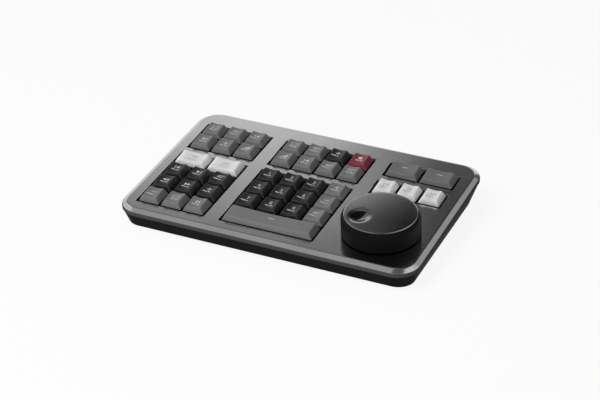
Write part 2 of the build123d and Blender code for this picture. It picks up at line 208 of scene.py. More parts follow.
# %% Make the finishes
cap_skin = (0.4, 0.0, 0.5, 0.3 * mm, 0.008 * mm)
finish_table = {
    "panel_aluminium": ((0.475, 0.478, 0.482), 0.16, 1.0, 0.0, 0.25 * mm, 0.002 * mm),
    "tray_plastic": ((0.012, 0.012, 0.0125), 0.55, 0.0, 0.01, 0.5 * mm, 0.04 * mm),
    "plate_steel": ((0.05, 0.05, 0.052), 0.45, 1.0, 0.5, 0.8 * mm, 0.01 * mm),
    "board_laminate": ((0.012, 0.06, 0.03), 0.35, 0.0, 0.4, 0.6 * mm, 0.01 * mm),
    "housing_plastic": ((0.012, 0.012, 0.013), 0.5, 0.0, 0.2, 0.4 * mm, 0.02 * mm),
    "socket_steel": ((0.5, 0.5, 0.5), 0.3, 1.0, 0.5, 0.5 * mm, 0.005 * mm),
    "battery_pouch": ((0.42, 0.43, 0.45), 0.35, 0.6, 0.5, 2.0 * mm, 0.05 * mm),
    "screw_steel": ((0.08, 0.08, 0.085), 0.4, 1.0, 0.5, 0.4 * mm, 0.01 * mm),
    "foot_rubber": ((0.02, 0.02, 0.021), 0.75, 0.0, 0.2, 0.6 * mm, 0.05 * mm),
    "dial_coating": ((0.265, 0.267, 0.271), 0.2, 1.0, 0.5, 0.25 * mm, 0.0015 * mm),
    "shaft_steel": ((0.5, 0.5, 0.51), 0.25, 1.0, 0.5, 0.5 * mm, 0.005 * mm),
    "bush_brass": ((0.6, 0.42, 0.17), 0.3, 1.0, 0.5, 0.5 * mm, 0.005 * mm),
    "nut_steel": ((0.5, 0.5, 0.49), 0.35, 1.0, 0.5, 0.5 * mm, 0.01 * mm),
    "motor_shell": ((0.25, 0.25, 0.26), 0.5, 1.0, 0.5, 0.6 * mm, 0.03 * mm),
    "magnet_iron": ((0.1, 0.1, 0.11), 0.4, 1.0, 0.5, 0.5 * mm, 0.01 * mm),
    "cap_grey": ((0.152, 0.154, 0.158), *cap_skin),
    "cap_black": ((0.009, 0.009, 0.010), *cap_skin),
    "cap_white": ((0.9, 0.9, 0.905), *cap_skin),
    "cap_red": ((0.2, 0.027, 0.042), *cap_skin),
    "cap_dark": ((0.14, 0.142, 0.145), *cap_skin),
}
shade_patch = 25 * mm
gloss_patch = 9 * mm
shade_drift = 0.04
gloss_drift = 0.02
finishes = {}
for slot, (colour, roughness, metallic, specular, grain_size, grain_depth) in finish_table.items():
    finish = new_finish(slot, colour, roughness, metallic, specular)
    drift(finish, shade(colour, 1 - shade_drift), shade(colour, 1 + shade_drift), shade_patch)
    polish(finish, roughness - gloss_drift, roughness + gloss_drift, gloss_patch)
    grain(finish, grain_size, grain_depth)
    finishes[slot] = finish
print("finishes:", len(finishes))

# %% [markdown]
# White plastic is never quite opaque. Light enters at the top of a white cap and leaves through its walls,
# so the shaded walls stay pale. A paler colour on the walls would only fake that. The shader's own
# scattering does it under any light, with a reach of a few millimetres.

# %% Let light into the white caps
white_scatter_share = 0.9
white_reach = 7 * mm
white_inputs = finishes["cap_white"].node_tree.nodes["Principled BSDF"].inputs
white_inputs["Subsurface Weight"].default_value = white_scatter_share
white_inputs["Subsurface Radius"].default_value = (1, 1, 1)
white_inputs["Subsurface Scale"].default_value = white_reach
print("light reaches", round(white_reach / mm, 1), "mm into the white caps")

# %% [markdown]
# The panel shines on its face and bevels only. Its upright sides and the walls of the key cut-outs are
# dark with painted shade, which stands in for the shade that falls there. A second material could be given
# face by face, with a hard border between the two. Here the finish itself looks at which way the surface
# faces, so the painted shade takes over smoothly where a rounded edge turns upright.

# %% Painted shade on the panel's sides
panel_painted_shade = (0.07, 0.07, 0.072)
upward = (0, 0, 1)
painted_shade_full_at, painted_shade_clear_at = 0.68, 0.8


def paint_shade_by_facing(finish, tone, direction, dark_at, clear_at):
    """Painted shade: a second, dark colour without the metal's mirror, where a surface turns away from a
    direction.
    """
    nodes, links = wiring(finish)
    shader = nodes["Principled BSDF"]
    face_colour = shader.inputs["Base Color"].links[0].from_socket
    facing = nodes.new("ShaderNodeTexCoord")
    towards = nodes.new("ShaderNodeVectorMath")
    towards.operation = "DOT_PRODUCT"
    towards.inputs[1].default_value = direction
    links.new(facing.outputs["Normal"], towards.inputs[0])
    clear = nodes.new("ShaderNodeMapRange")
    clear.inputs["From Min"].default_value = dark_at
    clear.inputs["From Max"].default_value = clear_at
    links.new(towards.outputs["Value"], clear.inputs["Value"])
    blend = nodes.new("ShaderNodeMix")
    blend.data_type = "RGBA"
    sockets = {socket.identifier: socket for socket in blend.inputs}
    sockets["A_Color"].default_value = (*tone, 1)
    links.new(clear.outputs["Result"], sockets["Factor_Float"])
    links.new(face_colour, sockets["B_Color"])
    result = next(socket for socket in blend.outputs if socket.identifier == "Result_Color")
    links.new(result, shader.inputs["Base Color"])
    links.new(clear.outputs["Result"], shader.inputs["Metallic"])


# Painted shade on the panel's upright sides and on the walls of its cut-outs.
paint_shade_by_facing(finishes["panel_aluminium"], panel_painted_shade, upward, painted_shade_full_at, painted_shade_clear_at)
print("the panel is dark from a lean of", round(math.degrees(math.acos(painted_shade_full_at))), "degrees")

# %% [markdown]
# ## Skins through rings
# A keycap is a thin shell that changes its outline all the way up. A box with a bevel would round every
# edge alike. A skin stretched through a stack of rings lets each level have its own size and its own corner
# radius, so that is how the caps are made, and the dial too. Every ring has the same number of points.

# %% Helpers for skins
sharp_turn = math.radians(35)


def add_skin(mesh, rings, place):
    """Closed skin through a stack of rings; a fan closes the first ring and the last."""
    levels = [[mesh.verts.new(place @ Vector(point)) for point in ring] for ring in rings]
    count = len(levels[0])
    for lower, upper in zip(levels, levels[1:]):
        for first in range(count):
            second = (first + 1) % count
            mesh.faces.new((lower[first], lower[second], upper[second], upper[first]))
    for ring, step in ((levels[0], -1), (levels[-1], 1)):
        middle = mesh.verts.new(sum((vertex.co for vertex in ring), Vector()) / count)
        for first in range(count):
            pair = (ring[first], ring[(first + 1) % count])
            mesh.faces.new((*pair[::step], middle))


def new_piece(name, mesh, finish, body):
    """An object from a finished mesh, smooth except at its sharp edges, riding on a body."""
    data = bpy.data.meshes.new(name)
    mesh.to_mesh(data)
    mesh.free()
    data.materials.append(finish)
    data.shade_smooth()
    data.set_sharp_from_angle(angle=sharp_turn)
    piece = bpy.data.objects.new(name, data)
    scene_objects.link(piece)
    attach(piece, body)
    return piece


def bend(start, corner, end, share):
    """Point on the soft curve that rounds a corner between two straight runs."""
    return start.lerp(corner, share).lerp(corner.lerp(end, share), share)


print("edges stay sharp from", round(math.degrees(sharp_turn)), "degrees")

# %% [markdown]
# ## Keycaps
# Each cap is moulded hollow: four walls leaning in by different drafts, a top that falls towards the user
# and is scooped from left to right, and a square stem that runs in its switch. Its outline is a rounded
# rectangle at every level. Blender has no such primitive, so one function lays points round it, always the
# same number, with some along the straight sides so that the scoop has points to bend at.

# %% Rings of a rounded rectangle
corner_steps = 6
side_steps = 8


def rounded_ring(half_width, front, rear, corner):
    """Points round a rounded rectangle, anticlockwise, always the same number of them."""
    right, left = half_width - corner, corner - half_width
    back, fore = rear - corner, front + corner
    points = []
    middles = [(right, back), (left, back), (left, fore), (right, fore)]
    for quarter, middle in enumerate(middles):
        start = quarter * math.pi / 2
        for step in range(corner_steps + 1):
            turn = start + step / corner_steps * math.pi / 2
            points.append(Vector(middle) + corner * Vector((math.cos(turn), math.sin(turn))))
        normal = Vector((math.cos(start + math.pi / 2), math.sin(start + math.pi / 2)))
        next_corner = Vector(middles[(quarter + 1) % len(middles)]) + corner * normal
        last = points[-1].copy()
        points += [last.lerp(next_corner, step / side_steps) for step in range(1, side_steps)]
    return points


def level_ring(ring, level):
    """The ring at one flat level."""
    return [Vector((*point, level)) for point in ring]


print("points in a ring:", 4 * (corner_steps + side_steps))

# %% [markdown]
# The top could be a flat sheet bent by a modifier. A formula for its height at any point is simpler,
# because the printed marks can later be laid onto the same formula. Wide caps and narrow ones share all
# other sizes, as they do in the moulder's drawings, so a cap's shape follows from the width and depth of
# its foot.

# %% Outline and top of a cap
cap_rear_height = 5.3 * mm
cap_front_height = 4.7 * mm
cap_scoop = 1.0 * mm
cap_side_run = 2.7 * mm
cap_rear_run = 2.2 * mm
cap_front_run = 1.3 * mm
cap_foot_corner = 0.7 * mm
cap_top_corner = 1.1 * mm


class CapShape:
    """Outline and top of one cap, from the half width and half depth of its foot."""

    def __init__(self, half_width, half_depth):
        self.half_width = half_width
        self.half_depth = half_depth
        self.top_half = half_width - cap_side_run
        self.top_front = cap_front_run - half_depth
        self.top_rear = half_depth - cap_rear_run

    def height(self, x, y):
        """Level of the sloped, scooped top at a point."""
        rise = (y - self.top_front) / (self.top_rear - self.top_front)
        across = min(abs(x) / self.top_half, 1)
        slope_level = cap_front_height + (cap_rear_height - cap_front_height) * rise
        return slope_level - cap_scoop * (1 - across ** 2)

    def wall(self, inset):
        """Ring at the foot, drawn in by an inset."""
        return rounded_ring(self.half_width - inset, inset - self.half_depth, self.half_depth - inset,
                            cap_foot_corner)

    def top(self, inset, front_inset):
        """Ring where walls and top would meet, drawn in by an inset of its own at the front."""
        return rounded_ring(self.top_half - inset, self.top_front + front_inset, self.top_rear - inset,
                            cap_top_corner - inset / 2)

    def on_top(self, ring):
        """The ring laid onto the scooped top."""
        return [Vector((*point, self.height(*point))) for point in ring]


print("a cap's top falls by", round((cap_rear_height - cap_front_height) / mm, 2), "mm towards the user")

# %% [markdown]
# The rings climb from the stem up inside the cap, round its foot and up the outside, and shrink to the
# middle of the top. The outside is ruled: each point of the foot climbs straight to a point of the top
# edge, and turns over there on a curve whose ends lie on the wall and on the top, so the edge has no
# crease. A bevel would give all four edges one radius. Here the front edge is the softest, because fingers
# arrive there.

# %% Rings of a cap
cap_foot_drop = 0.2 * mm
cap_wall = 1.3 * mm
cap_roof = 1.0 * mm
cap_ceiling = cap_front_height - cap_scoop - cap_roof
cap_side_edge = 0.5 * mm
cap_front_edge = 1.7 * mm
stem_half = 2.8 * mm
stem_ring = rounded_ring(stem_half, -stem_half, stem_half, cap_foot_corner / 2)
edge_steps = 5
top_rings = 5


def cap_rings(shape, stem_bottom):
    """All rings of a cap, from the end of its stem to the middle of its top."""
    foot = level_ring(shape.wall(0), -cap_foot_drop)
    rings = [level_ring(stem_ring, stem_bottom), level_ring(stem_ring, cap_ceiling),
             level_ring(shape.top(cap_wall, cap_wall), cap_ceiling),
             level_ring(shape.wall(cap_wall), -cap_foot_drop), foot]
    brink = shape.on_top(shape.top(0, 0))
    inside = shape.on_top(shape.top(cap_side_edge, cap_front_edge))
    shoulder = [top + (low - top).normalized() * (end - top).length
                for low, top, end in zip(foot, brink, inside)]
    for step in range(edge_steps + 1):
        rings.append([bend(*trio, step / edge_steps) for trio in zip(shoulder, brink, inside)])
    middle = Vector((0, (shape.top_front + shape.top_rear) / 2))
    for step in range(1, top_rings):
        shrunk = [middle + (point.xy - middle) * (1 - step / top_rings) for point in inside]
        rings.append(shape.on_top(shrunk))
    return rings


print("ceiling under a cap's top:", round(cap_ceiling / mm, 2), "mm over the panel")

# %% [markdown]
# Each cap takes its place and its foot from the plain solid that it stands for, so nothing here has to know
# where the keys are. The long bar has two more stems, which keep it level when it is pressed at one end.

# %% Make the caps
guide_offset = 26 * mm


def make_cap(key):
    """The moulded cap of one key, in place of its plain solid."""
    low, high = box_on_panel(key)
    middle = (low + high) / 2
    shape = CapShape((high.x - low.x) / 2, (high.y - low.y) / 2)
    place = panel_frame @ Matrix.Translation((middle.x, middle.y, 0))
    mesh = bmesh.new()
    add_skin(mesh, cap_rings(shape, low.z), place)
    if shape.half_width > guide_offset:
        for side in (-1, 1):
            guide = place @ Matrix.Translation((side * guide_offset, 0, 0))
            add_skin(mesh, [level_ring(stem_ring, low.z), level_ring(stem_ring, cap_ceiling)], guide)
    cap = new_piece(f"{key}_cap", mesh, finishes[slot_of[key]], key)
    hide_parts(key)
    return shape, place


keys = [joint["child"] for joint in frame["joints"] if joint["type"] == "slide"]
cap_shapes = {key: make_cap(key) for key in keys}
print("caps:", len(cap_shapes))

# %% [markdown]
# ## Marks on the caps
# The caps carry small printed marks. Plain digits go on the nine number keys, and simple shapes, such as
# bars, triangles and squares, on the others. The shapes are written as corners, in shares of a mark's
# height, because a handful of straight lines needs no drawing file. Under most marks lie two short dashes.

# %% Shapes of the marks
arrow_half_share = 0.5
caption_reach_share = 1.0
caption_step_share = 0.15
caption_kinds = 4
caption_total_share = 1.9
caption_gap_share = 0.1
caption_low_share, caption_high_share = -1.15, -0.88


def bar(left, right, bottom, top):
    """A filled rectangle, in shares of the mark's height."""
    return [(left, bottom), (right, bottom), (right, top), (left, top)]


def arrow(base, tip):
    """A triangle that points to the left or right."""
    return [(base, -arrow_half_share), (tip, 0), (base, arrow_half_share)]


def caption(number):
    """Two dashes under a mark, whose length changes from key to key."""
    reach = caption_reach_share + caption_step_share * (number % caption_kinds)
    return [bar(-reach, -caption_gap_share, caption_low_share, caption_high_share),
            bar(caption_gap_share, caption_total_share - reach, caption_low_share, caption_high_share)]


mark_shares = {
    "frame": [bar(-0.9, 0.9, 0.35, 0.5), bar(-0.9, 0.9, -0.5, -0.35), bar(-0.9, -0.75, -0.35, 0.35),
              bar(0.75, 0.9, -0.35, 0.35)],
    "plus": [bar(-0.6, 0.6, -0.1, 0.1), bar(-0.1, 0.1, 0.1, 0.6), bar(-0.1, 0.1, -0.6, -0.1)],
    "minus": [bar(-0.7, 0.7, -0.1, 0.1)],
    "lines": [bar(-0.9, 0.9, 0.2, 0.42), bar(-0.9, 0.4, -0.3, -0.08)],
    "dash": [bar(-0.8, 0.8, -0.1, 0.1)],
    "onward": [arrow(-0.8, 0), arrow(0, 0.8)],
    "back": [arrow(0.8, 0), arrow(0, -0.8)],
    "first": [bar(-0.7, -0.5, -0.5, 0.5), arrow(0.6, -0.4)],
    "last": [bar(0.5, 0.7, -0.5, 0.5), arrow(-0.6, 0.4)],
    "square": [bar(-0.5, 0.5, -0.5, 0.5)],
    "pair": [bar(-0.5, -0.15, -0.5, 0.5), bar(0.15, 0.5, -0.5, 0.5)],
    "stairs": [bar(-0.8, -0.3, -0.5, -0.15), bar(-0.25, 0.25, -0.5, 0.15), bar(0.3, 0.8, -0.5, 0.5)],
}
print("marks:", sorted(mark_shares))

# %% [markdown]
# A mark could be painted by the material, but print has a real outline. So each one is a flat curve, filled
# by Blender, with a thickness of a few hundredths of a millimetre. Digits come from Blender's own plain
# letters.

# %% Draw a mark as a flat curve
mark_height = 3.2 * mm
print_height = 0.08 * mm
digit_height_share = 1.6
digit_curve_steps = 3


def outline_curve(name, outlines):
    """A flat filled curve through straight-sided outlines."""
    curve = bpy.data.curves.new(name, "CURVE")
    curve.dimensions = "2D"
    curve.fill_mode = "BOTH"
    for outline in outlines:
        spline = curve.splines.new("POLY")
        spline.points.add(len(outline) - 1)
        for point, (x, y) in zip(spline.points, outline):
            point.co = (x * mark_height, y * mark_height, 0, 1)
        spline.use_cyclic_u = True
    return curve


def digit_curve(name, digit):
    """A flat filled digit."""
    curve = bpy.data.curves.new(name, "FONT")
    curve.body = digit
    curve.size = mark_height * digit_height_share
    curve.align_x = "CENTER"
    curve.align_y = "CENTER"
    curve.resolution_u = digit_curve_steps
    return curve


print("marks are", round(mark_height / mm, 1), "mm high")

# %% [markdown]
# Two inks print the marks, both grey: a pale one for dark caps, and one for white caps that stays faint
# there. One flat grey would do, but the tone of screen print wanders a little, so the inks get the drift
# that the other finishes have. Each entry is an ink's colour and how far its tone may wander.

# %% Mix the inks
ink_table = {"ink_pale": ((0.5, 0.5, 0.51), 0.05), "ink_dark": ((0.52, 0.52, 0.53), 0.04)}
ink_roughness = 0.5
ink_patch = 1.5 * mm


def both_sides(colour, spread):
    """Two tones, darker and lighter than a colour by a spread."""
    return [tuple(channel + step for channel in colour) for step in (-spread, spread)]


inks = {}
for name, (colour, spread) in ink_table.items():
    inks[name] = new_finish(name, colour, ink_roughness)
    drift(inks[name], *both_sides(colour, spread), ink_patch)
print("inks:", sorted(inks))

# %% [markdown]
# A key's name tells its family and its number, and those choose its mark. The points of the mark are then
# dropped onto the height formula of the cap, which bends the print into the scoop. A modifier could project
# them, but would have to stay on every one of these small pieces.

# %% Print the marks
mark_shift = Vector((0.3 * mm, 0.8 * mm, 0))
marks_of_family = {
    "edit": ["frame", "lines", "first", "last", "plus", "stairs"],
    "mark": ["back", "onward"],
    "trim": ["first", "last", "lines", "back", "onward", "plus", "minus", "frame", "pair"],
    "view": ["frame", "lines", "plus", "square", "stairs", "first", "last", "lines"],
    "side": ["plus", "minus", "lines"],
    "bank": ["dash", "dash"],
    "mode": ["first", "square", "last"],
    "play": ["dash"],
}


def print_mark(name, key, curve, ink):
    """A mark with a little thickness, laid onto the top of a cap."""
    shape, place = cap_shapes[key]
    curve.extrude = print_height / 2
    stamp = bpy.data.objects.new(f"{name}_stamp", curve)
    scene_objects.link(stamp)
    bpy.context.view_layer.update()
    flat = bpy.data.meshes.new_from_object(stamp.evaluated_get(bpy.context.evaluated_depsgraph_get()))
    bpy.data.objects.remove(stamp)
    mesh = bmesh.new()
    mesh.from_mesh(flat)
    for vertex in mesh.verts:
        spot = vertex.co + mark_shift
        vertex.co = place @ Vector((spot.x, spot.y, shape.height(spot.x, spot.y) + vertex.co.z))
    new_piece(name, mesh, ink, key)


for key in keys:
    family, suffix = key.split("_")[0], key.split("_")[-1]
    number = int(suffix) if suffix.isdigit() else 1
    ink = inks["ink_dark" if slot_of[key] == "cap_white" else "ink_pale"]
    if family == "number":
        print_mark(f"{key}_mark", key, digit_curve(key, suffix), ink)
    else:
        outlines = mark_shares[marks_of_family[family][number - 1]]
        print_mark(f"{key}_mark", key, outline_curve(key, outlines), ink)
    if family not in ("bank", "play"):
        print_mark(f"{key}_caption", key, outline_curve(key, caption(number)), ink)
print("keys printed:", len(keys))

# %% [markdown]
# ## The search dial
# The dial is turned from solid metal and coated. Its profile is short: a wall, a sloped shoulder and a top
# with a slight crown. A revolve of a plain profile would leave knife edges, which a coating never keeps, so
# each corner is given with the length that it rounds off. The thin bright line round the top is just light
# caught by that rounding.

# %% The turned profile
dial_radius = 29.9 * mm
dial_rim_radius = 27.3 * mm
dial_height = 18.1 * mm
dial_shoulder = 3.5 * mm
dial_gap = 0.9 * mm
dial_recess_radius = 10.6 * mm
dial_recess_level = 3.0 * mm
dial_crown = 1.2 * mm
dial_edge = 1.0 * mm
dial_shoulder_edge = 2.4 * mm
dial_foot_edge = 0.5 * mm
bend_steps = 6


def rounded_profile(corners):
    """Profile of (radius, level) points from corners given with the length that each one rounds off."""
    points = []
    for (before, _), (corner, edge), (after, _) in zip(corners, corners[1:], corners[2:]):
        start = corner + (before - corner).normalized() * edge
        end = corner + (after - corner).normalized() * edge
        points += [bend(start, corner, end, step / bend_steps) for step in range(bend_steps + 1)]
    return points


def turned_corner(radius, level, edge=0.0):
    """A corner of the dial's profile."""
    return Vector((radius, level)), edge


turned_profile = rounded_profile([
    turned_corner(0, dial_recess_level),
    turned_corner(dial_recess_radius, dial_recess_level, dial_foot_edge / 2),
    turned_corner(dial_recess_radius, dial_gap, dial_foot_edge),
    turned_corner(dial_radius, dial_gap, dial_foot_edge),
    turned_corner(dial_radius, dial_height - dial_shoulder, dial_shoulder_edge),
    turned_corner(dial_rim_radius, dial_height - dial_crown / 2, dial_edge),
    turned_corner(0, dial_height + dial_crown / 2)])
print("points in the turned profile:", len(turned_profile))

# %% [markdown]
# The finger dimple is a hollow that a ball cutter could mill, with a wide soft brim where a fingertip
# slides in. Cutting it out of the top with a boolean would leave ragged faces round the brim. A second
# profile, from the brim to the bottom of the bowl, gives clean rings instead.

# %% The dimple's profile
dimple_radius = 7.4 * mm
dimple_depth = 2.7 * mm
dimple_edge = 2.6 * mm
bowl_rings = 8
bowl_ball = (dimple_radius ** 2 + dimple_depth ** 2) / (2 * dimple_depth)
bowl_turn = math.asin((dimple_radius - dimple_edge) / bowl_ball)


def bowl_point(turn):
    """Point of the dimple's bowl, by its angle from the bottom."""
    level = dial_height - dimple_depth + bowl_ball * (1 - math.cos(turn))
    return Vector((bowl_ball * math.sin(turn), level))


brim = Vector((dimple_radius + dimple_edge, dial_height))
bowl_start = bowl_point(bowl_turn)
brink = Vector((bowl_start.x + (dial_height - bowl_start.y) / math.tan(bowl_turn), dial_height))
bowl_profile = [bend(brim, brink, bowl_start, step / bend_steps) for step in range(bend_steps + 1)]
bowl_profile += [bowl_point(bowl_turn * (1 - step / bowl_rings)) for step in range(1, bowl_rings)]
print("ball of the dimple:", round(2 * bowl_ball / mm, 1), "mm across")

# %% [markdown]
# The dimple is off centre, so a plain revolve can't hold it. One skin can: its rings climb the turned wall
# to the rim, then shrink and slide across the top until they are the dimple's brim, and go down into its
# bowl. The rings on the top are lifted with its crown.

# %% Rings of the dial
dimple_middle = Vector((-12.5, -10.7)) * mm
dial_points = 128
top_slides = 10


def circle(middle, radius, level):
    """Ring of points round a middle."""
    turns = [2 * math.pi * point / dial_points for point in range(dial_points)]
    return [Vector((middle.x + radius * math.cos(turn), middle.y + radius * math.sin(turn), level))
            for turn in turns]


def crowned(ring):
    """A ring lifted with the crown: half of it up at the middle, and half of it down at the rim."""
    lifts = [dial_crown * (0.5 - point.xy.length_squared / dial_rim_radius ** 2) for point in ring]
    return [point + Vector((0, 0, lift)) for point, lift in zip(ring, lifts)]


dial_middle = Vector((0, 0))
dial_rings = [circle(dial_middle, point.x, point.y) for point in turned_profile]
rim = turned_profile[-1].x
for step in range(1, top_slides):
    share = step / top_slides
    slid = circle(dial_middle.lerp(dimple_middle, share), rim + (brim.x - rim) * share, dial_height)
    dial_rings.append(crowned(slid))
dial_rings += [crowned(circle(dimple_middle, point.x, point.y)) for point in bowl_profile]
print("rings of the dial:", len(dial_rings))

# %% [markdown]
# The coating looks like satin metal on the top and matt black on the grip, where fingers need hold. In
# the dimple, the side of the bowl that turns away from the light at the rear left is painted dark: painted
# shade. The side that faces that light keeps the satin coating and shines. That side has no outline of its
# own, so the helper that paints shade on the panel's sides is used again.

# %% Finishes of the grip and the dimple
grip_and_dimple_shade_colour = (0.004, 0.004, 0.0044)
grip_spread = 0.0004
grip_roughness = 0.45
grip_specular = 0.06
grip_grain_size = 0.35 * mm
grip_grain_depth = 0.02 * mm
grip_finish = new_finish("dial_grip", grip_and_dimple_shade_colour, grip_roughness, specular=grip_specular)
drift(grip_finish, *both_sides(grip_and_dimple_shade_colour, grip_spread), shade_patch)
grain(grip_finish, grip_grain_size, grip_grain_depth)
# Way to the light at the rear left, which the bright side of the dimple's bowl faces.
dimple_light_way = (-0.94, 0.34, 0)
dimple_dark_at, dimple_clear_at = 0.03, 0.15
coating_colour, coating_roughness, coating_metallic = finish_table["dial_coating"][:3]
coating_shades = [shade(coating_colour, 1 + step) for step in (-shade_drift, shade_drift)]
dimple_finish = new_finish("dial_dimple", coating_colour, coating_roughness, coating_metallic,
                           grip_specular)
drift(dimple_finish, *coating_shades, shade_patch)
# Painted shade in the dimple's bowl, where it turns away from the light at the rear left.
paint_shade_by_facing(dimple_finish, grip_and_dimple_shade_colour, dimple_light_way, dimple_dark_at, dimple_clear_at)
dial_finishes = [finishes["dial_coating"], grip_finish, dimple_finish]
print("finishes of the dial:", [finish.name for finish in dial_finishes])

# %% [markdown]
# The dial is one piece with three finishes: the coating and the grip, as if masked and sprayed, and the
# dimple with its painted shade. Three separate meshes would show a seam, so its faces choose their finish
# by where they lie: below the edge of the top, in the dimple, or neither.

# %% Make the dial
coated_edge_share = 0.6
grip_radius = dial_rim_radius - dial_edge
grip_top = dial_height - dial_crown / 2 - coated_edge_share * dial_edge
dimple_tone_radius = 7.2 * mm
dial_axis = to_panel @ Vector(joints["dial_turn"]["pos_m"])
dial_place = panel_frame @ Matrix.Translation((dial_axis.x, dial_axis.y, 0))
to_dial = dial_place.inverted()
mesh = bmesh.new()
add_skin(mesh, dial_rings, dial_place)
for face in mesh.faces:
    middle = to_dial @ face.calc_center_median()
    on_grip = middle.xy.length > grip_radius and middle.z < grip_top
    in_dimple = (middle.xy - dimple_middle).length < dimple_tone_radius and middle.z > dial_height / 2
    choice = grip_finish if on_grip else dimple_finish if in_dimple else dial_finishes[0]
    face.material_index = dial_finishes.index(choice)
dial = new_piece("dial_turned_knob", mesh, dial_finishes[0], "dial")
for finish in dial_finishes[1:]:
    dial.data.materials.append(finish)
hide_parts("dial_knob")
print("dial:", len(dial.data.polygons), "faces")

# %% [markdown]
# ## Pieces that stay as they are built
# The tray and all inner pieces already have the right shape, so they stay. Two things are added: the finish
# of each, and a small rounding on the edges that light can catch. The rounding could be cut into the mesh,
# but the construction's meshes are left as they are, so modifiers do it: one merges doubled points, one
# joins flat triangles, one rounds what is sharp, and one evens the shading.

# %% Finish the construction's own pieces
edge_radius = {"base_tray": 0.5 * mm, "rubber_feet": 0.6 * mm,
               "battery_pack": 0.8 * mm, "case_screws": 0.2 * mm}
edge_segments = 4
merge_distance = 0.001 * mm
flat_turn = math.radians(0.5)
soft_turn = math.radians(28)


def join_flats(piece):
    """Doubled points merged and flat triangles joined, so that only real edges are left."""
    weld = piece.modifiers.new("doubled_points", "WELD")
    weld.merge_threshold = merge_distance
    flats = piece.modifiers.new("flat_triangles", "DECIMATE")
    flats.decimate_type = "DISSOLVE"
    flats.angle_limit = flat_turn


def round_edges(piece, radius):
    """Rounding on the edges that turn enough to catch light."""
    edge = piece.modifiers.new("edges", "BEVEL")
    edge.width = radius
    edge.segments = edge_segments
    edge.limit_method = "ANGLE"
    edge.angle_limit = soft_turn


def even_shading(piece):
    """Shading that follows the large faces, so that roundings look smooth and flats stay flat."""
    piece.modifiers.new("even_shading", "WEIGHTED_NORMAL").keep_sharp = True


for node, piece in frame["nodes"].items():
    piece.data.materials.clear()
    piece.data.materials.append(finishes[slot_of[node]])
for node, radius in edge_radius.items():
    piece = frame["nodes"][node]
    join_flats(piece)
    round_edges(piece, radius)
    even_shading(piece)
print("edges rounded on:", sorted(edge_radius))

# %% [markdown]
# ## The panel's rounded edges
# The panel is milled and blasted, so the edges of its cut-outs and bevels are soft, and their roundings
# draw thin dark and bright lines round the keys. A modifier would round every sharp edge of the plate, and
# the tiny ones underneath would hold back all the others. So the panel is copied, and the copy is rounded
# only where it shows: at the square edges on its face, and at the two creases of its bevel. These tests
# find those edges.

# %% Find the panel's edges
face_slack = 0.02 * mm
outline_depth = 8 * mm
skirt_start = 3 * mm
panel_low, panel_high = box_on_panel("top_panel")


def on_face(point):
    """Whether a point lies on the panel's top face."""
    return abs((to_panel @ point).z) < face_slack


def near_outline(point):
    """Whether a point lies close to the panel's outer sides, and not down inside its skirt."""
    flat = to_panel @ point
    near = min(*(flat.xy - panel_low.xy), *(panel_high.xy - flat.xy)) < outline_depth
    return near and flat.z > -skirt_start


def edges_that(mesh, least_turn, most_turn, test):
    """Edges that turn by an angle in a range, with both ends where they should be."""
    return [edge for edge in mesh.edges if least_turn < edge.calc_face_angle(0) < most_turn
            and all(test(vertex.co) for vertex in edge.verts)]


print("panel:", [round(side / mm, 1) for side in (panel_high - panel_low).xy], "mm")

# %% [markdown]
# The cut-outs leave a little more room at the left of the keys than on their other sides, so their left
# walls move out before anything is rounded. Each cut-out's left wall stands one clearance from the first
# key of its column, which is how its points are found.

# %% Round the panel's edges
cap_clearance = 1.5 * mm
left_room = 0.85 * mm
cut_out_radius = 0.4 * mm
crease_radius = 0.8 * mm
rounding_segments = 5
round_profile = 0.5
square_turn = math.radians(75)


def widen_cut_outs(mesh):
    """The left walls of the cut-outs moved out."""
    lefts = [box_on_panel(key)[0].x - cap_clearance for key in ("edit_key_1", "view_key_1", "bank_key_1")]
    for vertex in mesh.verts:
        if any(abs(vertex.co.x - left) < face_slack for left in lefts):
            vertex.co.x -= left_room


def round_off(mesh, edges, radius):
    """Rounding on chosen edges of a mesh."""
    bmesh.ops.bevel(mesh, geom=edges, offset=radius, offset_type="OFFSET", segments=rounding_segments,
                    profile=round_profile, affect="EDGES", clamp_overlap=True)


mesh = bmesh.new()
mesh.from_mesh(frame["nodes"]["top_panel"].data)
bmesh.ops.remove_doubles(mesh, verts=mesh.verts, dist=merge_distance)
bmesh.ops.dissolve_limit(mesh, angle_limit=flat_turn, verts=mesh.verts, edges=mesh.edges)
widen_cut_outs(mesh)
round_off(mesh, edges_that(mesh, square_turn, math.pi, on_face), cut_out_radius)
round_off(mesh, edges_that(mesh, soft_turn, square_turn, near_outline), crease_radius)
panel_plate = new_piece("panel_plate", mesh, finishes[slot_of["top_panel"]], "case")
even_shading(panel_plate)
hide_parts("top_panel")
print("panel plate:", len(panel_plate.data.polygons), "faces")

# %% [markdown]
# ## Floor
# The portrait is a plain studio one, and a pale floor stretches past its edges. A floor that is only lit
# would come out grey, and more light would bleach the keyboard. So the floor glows white for the camera and
# in reflections, and keeps a small share of real shading, in which the keyboard's shadow stays.

# %% A floor that is white to the eye
floor_colour = (0.85, 0.85, 0.85)
floor_roughness = 0.9
floor_white_share = 0.9


def seen_directly(nodes, links):
    """One for rays from the camera, a mirror or a clear pane, and zero for rays that only carry light."""
    path = nodes.new("ShaderNodeLightPath")
    total = path.outputs["Is Camera Ray"]
    for output in ("Is Glossy Ray", "Is Transmission Ray"):
        either = nodes.new("ShaderNodeMath")
        either.operation = "MAXIMUM"
        links.new(total, either.inputs[0])
        links.new(path.outputs[output], either.inputs[1])
        total = either.outputs["Value"]
    return total


